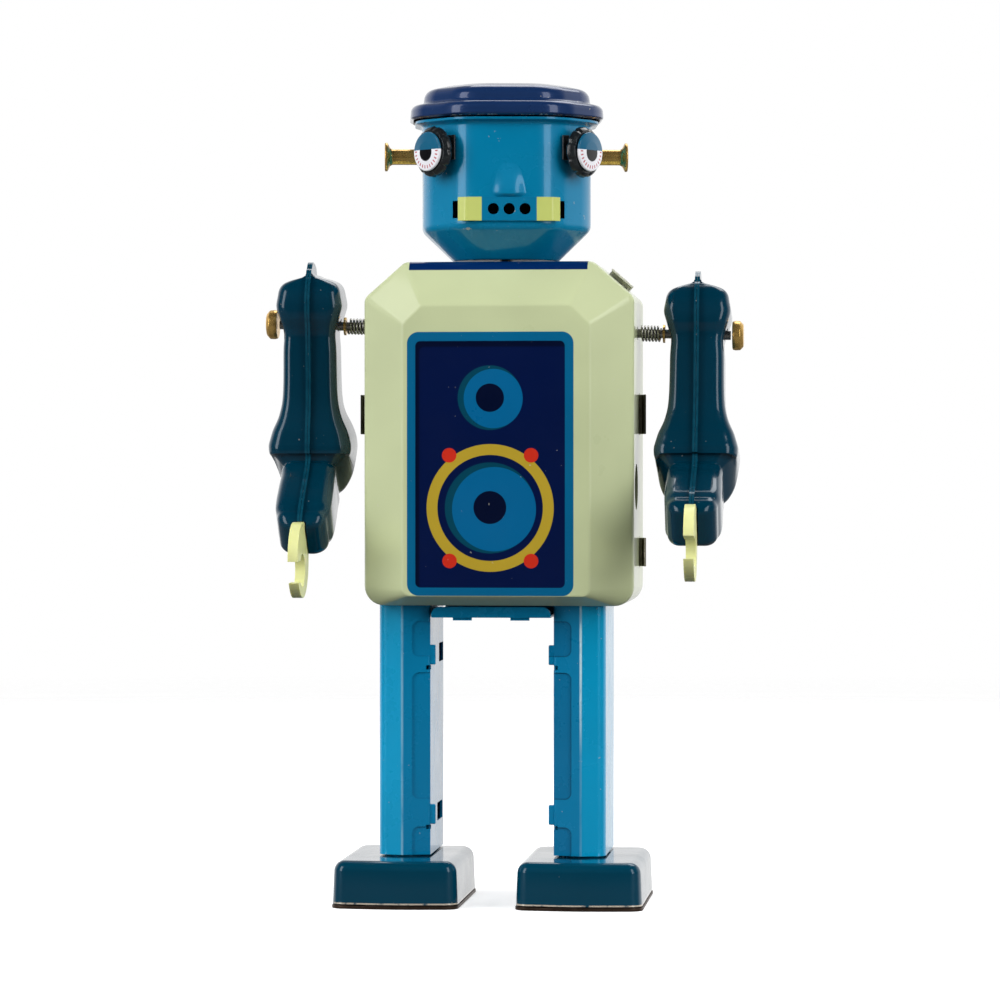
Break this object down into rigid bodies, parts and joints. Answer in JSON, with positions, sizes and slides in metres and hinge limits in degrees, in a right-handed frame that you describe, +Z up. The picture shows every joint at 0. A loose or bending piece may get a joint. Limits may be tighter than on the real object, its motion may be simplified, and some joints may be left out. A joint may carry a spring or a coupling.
{
  "type": "toy robot",
  "caption": "Wind-up tin robot with a speaker-fronted box body, swivelling head in a flat hat, swinging arms with hook claws and crank-driven legs.",
  "frame": {"origin": "on the ground under the middle of the robot's box", "axes": "+Z up, the robot faces -Y, its own left side is +X"},
  "size_m": [0.117, 0.0696, 0.1986],
  "materials": {
    "green_tin": "glossy sage green lithographed tin",
    "teal_tin": "glossy teal lacquered tin",
    "navy_tin": "glossy navy lacquered tin",
    "dark_teal_tin": "glossy dark teal lacquered tin",
    "leg_tin": "glossy blue lacquered tin",
    "mouth_tin": "glossy printed tin",
    "claw_plastic": "pale yellow-green moulded plastic",
    "black_plastic": "glossy black",
    "eye_print": "glossy printed tin disc",
    "brass": "polished brass",
    "steel": "bright drawn steel",
    "plated_steel": "dull plated steel sheet",
    "rubber": "matt black rubber"
  },
  "bodies": {
    "torso": {"front_shell": "green_tin", "back_shell": "green_tin", "neck_pivot": "steel", "shoulder_shaft": "steel", "rivet_head_left": "brass", "rivet_head_right": "brass", "shoulder_spring_left": "steel", "shoulder_spring_right": "steel", "spring_washer_left": "brass", "spring_washer_right": "brass", "hip_plate": "leg_tin", "motor_plate_left": "plated_steel", "motor_plate_right": "plated_steel", "motor_pillar_front": "steel", "motor_pillar_back": "steel", "motor_pillar_top": "steel", "hip_pin_left": "steel", "hip_pin_right": "steel", "mainspring": "steel"},
    "head": {"head_shell": "teal_tin", "hat": "navy_tin", "mouth_plate": "mouth_tin", "eye_bezel_left": "black_plastic", "eye_bezel_right": "black_plastic", "eye_disc_left": "eye_print", "eye_disc_right": "eye_print", "ear_tube_left": "brass", "ear_tube_right": "brass"},
    "crank": {"crank_shaft": "steel", "rate_wheel": "brass", "crank_disc_left": "steel", "crank_disc_right": "steel"},
    "second_arbor": {"second_arbor": "steel", "second_wheel": "brass"},
    "winding": {"winding_arbor": "steel", "great_wheel": "brass"},
    "governor": {"governor_arbor": "steel", "governor_fan": "plated_steel"},
    "arm_left": {"arm_left_outer": "dark_teal_tin", "arm_left_inner": "dark_teal_tin", "claw_left": "claw_plastic"},
    "leg_left": {"leg_left_shell": "leg_tin", "foot_left_shell": "dark_teal_tin", "sole_left": "plated_steel", "roller_axle_left": "steel"},
    "roller_left": {"roller_left": "rubber"},
    "arm_right": {"arm_right_outer": "dark_teal_tin", "arm_right_inner": "dark_teal_tin", "claw_right": "claw_plastic"},
    "leg_right": {"leg_right_shell": "leg_tin", "foot_right_shell": "dark_teal_tin", "sole_right": "plated_steel", "roller_axle_right": "steel"},
    "roller_right": {"roller_right": "rubber"}
  },
  "joints": [
    {"name": "head_turn", "type": "hinge", "parent": "torso", "child": "head", "pos_m": [0.0005, 0.01021, 0.1559], "axis": [0, 0, 1], "range_deg": [-87.5, 72.5]},
    {"name": "arm_left_swing", "type": "hinge", "parent": "torso", "child": "arm_left", "pos_m": [0.0474, 0.01021, 0.13802], "axis": [1, 0, 0], "continuous": true},
    {"name": "arm_right_swing", "type": "hinge", "parent": "torso", "child": "arm_right", "pos_m": [-0.0474, 0.01021, 0.14058], "axis": [1, 0, 0], "continuous": true},
    {"name": "leg_left_swing", "type": "hinge", "parent": "torso", "child": "leg_left", "pos_m": [0.0193, 0.01021, 0.079], "axis": [1, 0, 0], "range_deg": [-5.5, 5.5]},
    {"name": "leg_right_swing", "type": "hinge", "parent": "torso", "child": "leg_right", "pos_m": [-0.0233, 0.01021, 0.079], "axis": [1, 0, 0], "range_deg": [-5.5, 5.5]},
    {"name": "crank_turn", "type": "hinge", "parent": "torso", "child": "crank", "pos_m": [-0.002, 0.01021, 0.092], "axis": [1, 0, 0], "continuous": true},
    {"name": "second_arbor_turn", "type": "hinge", "parent": "torso", "child": "second_arbor", "pos_m": [-0.002, 0.01487, 0.0997], "axis": [1, 0, 0], "continuous": true},
    {"name": "winding_turn", "type": "hinge", "parent": "torso", "child": "winding", "pos_m": [-0.002, 0.00521, 0.101], "axis": [1, 0, 0], "continuous": true},
    {"name": "governor_turn", "type": "hinge", "parent": "torso", "child": "governor", "pos_m": [-0.002, 0.0041, 0.08818], "axis": [1, 0, 0], "continuous": true},
    {"name": "roller_left_turn", "type": "hinge", "parent": "leg_left", "child": "roller_left", "pos_m": [0.0201, 0.00421, 0.0036], "axis": [1, 0, 0], "continuous": true},
    {"name": "roller_right_turn", "type": "hinge", "parent": "leg_right", "child": "roller_right", "pos_m": [-0.0241, 0.00421, 0.0036], "axis": [1, 0, 0], "continuous": true}
  ],
  "couplings": [
    {"joint": "leg_right_swing", "follows": "leg_left_swing", "ratio": -1},
    {"joint": "second_arbor_turn", "follows": "crank_turn", "ratio": -0.33333},
    {"joint": "winding_turn", "follows": "crank_turn", "ratio": 0.1},
    {"joint": "governor_turn", "follows": "crank_turn", "ratio": -3.5}
  ]
}
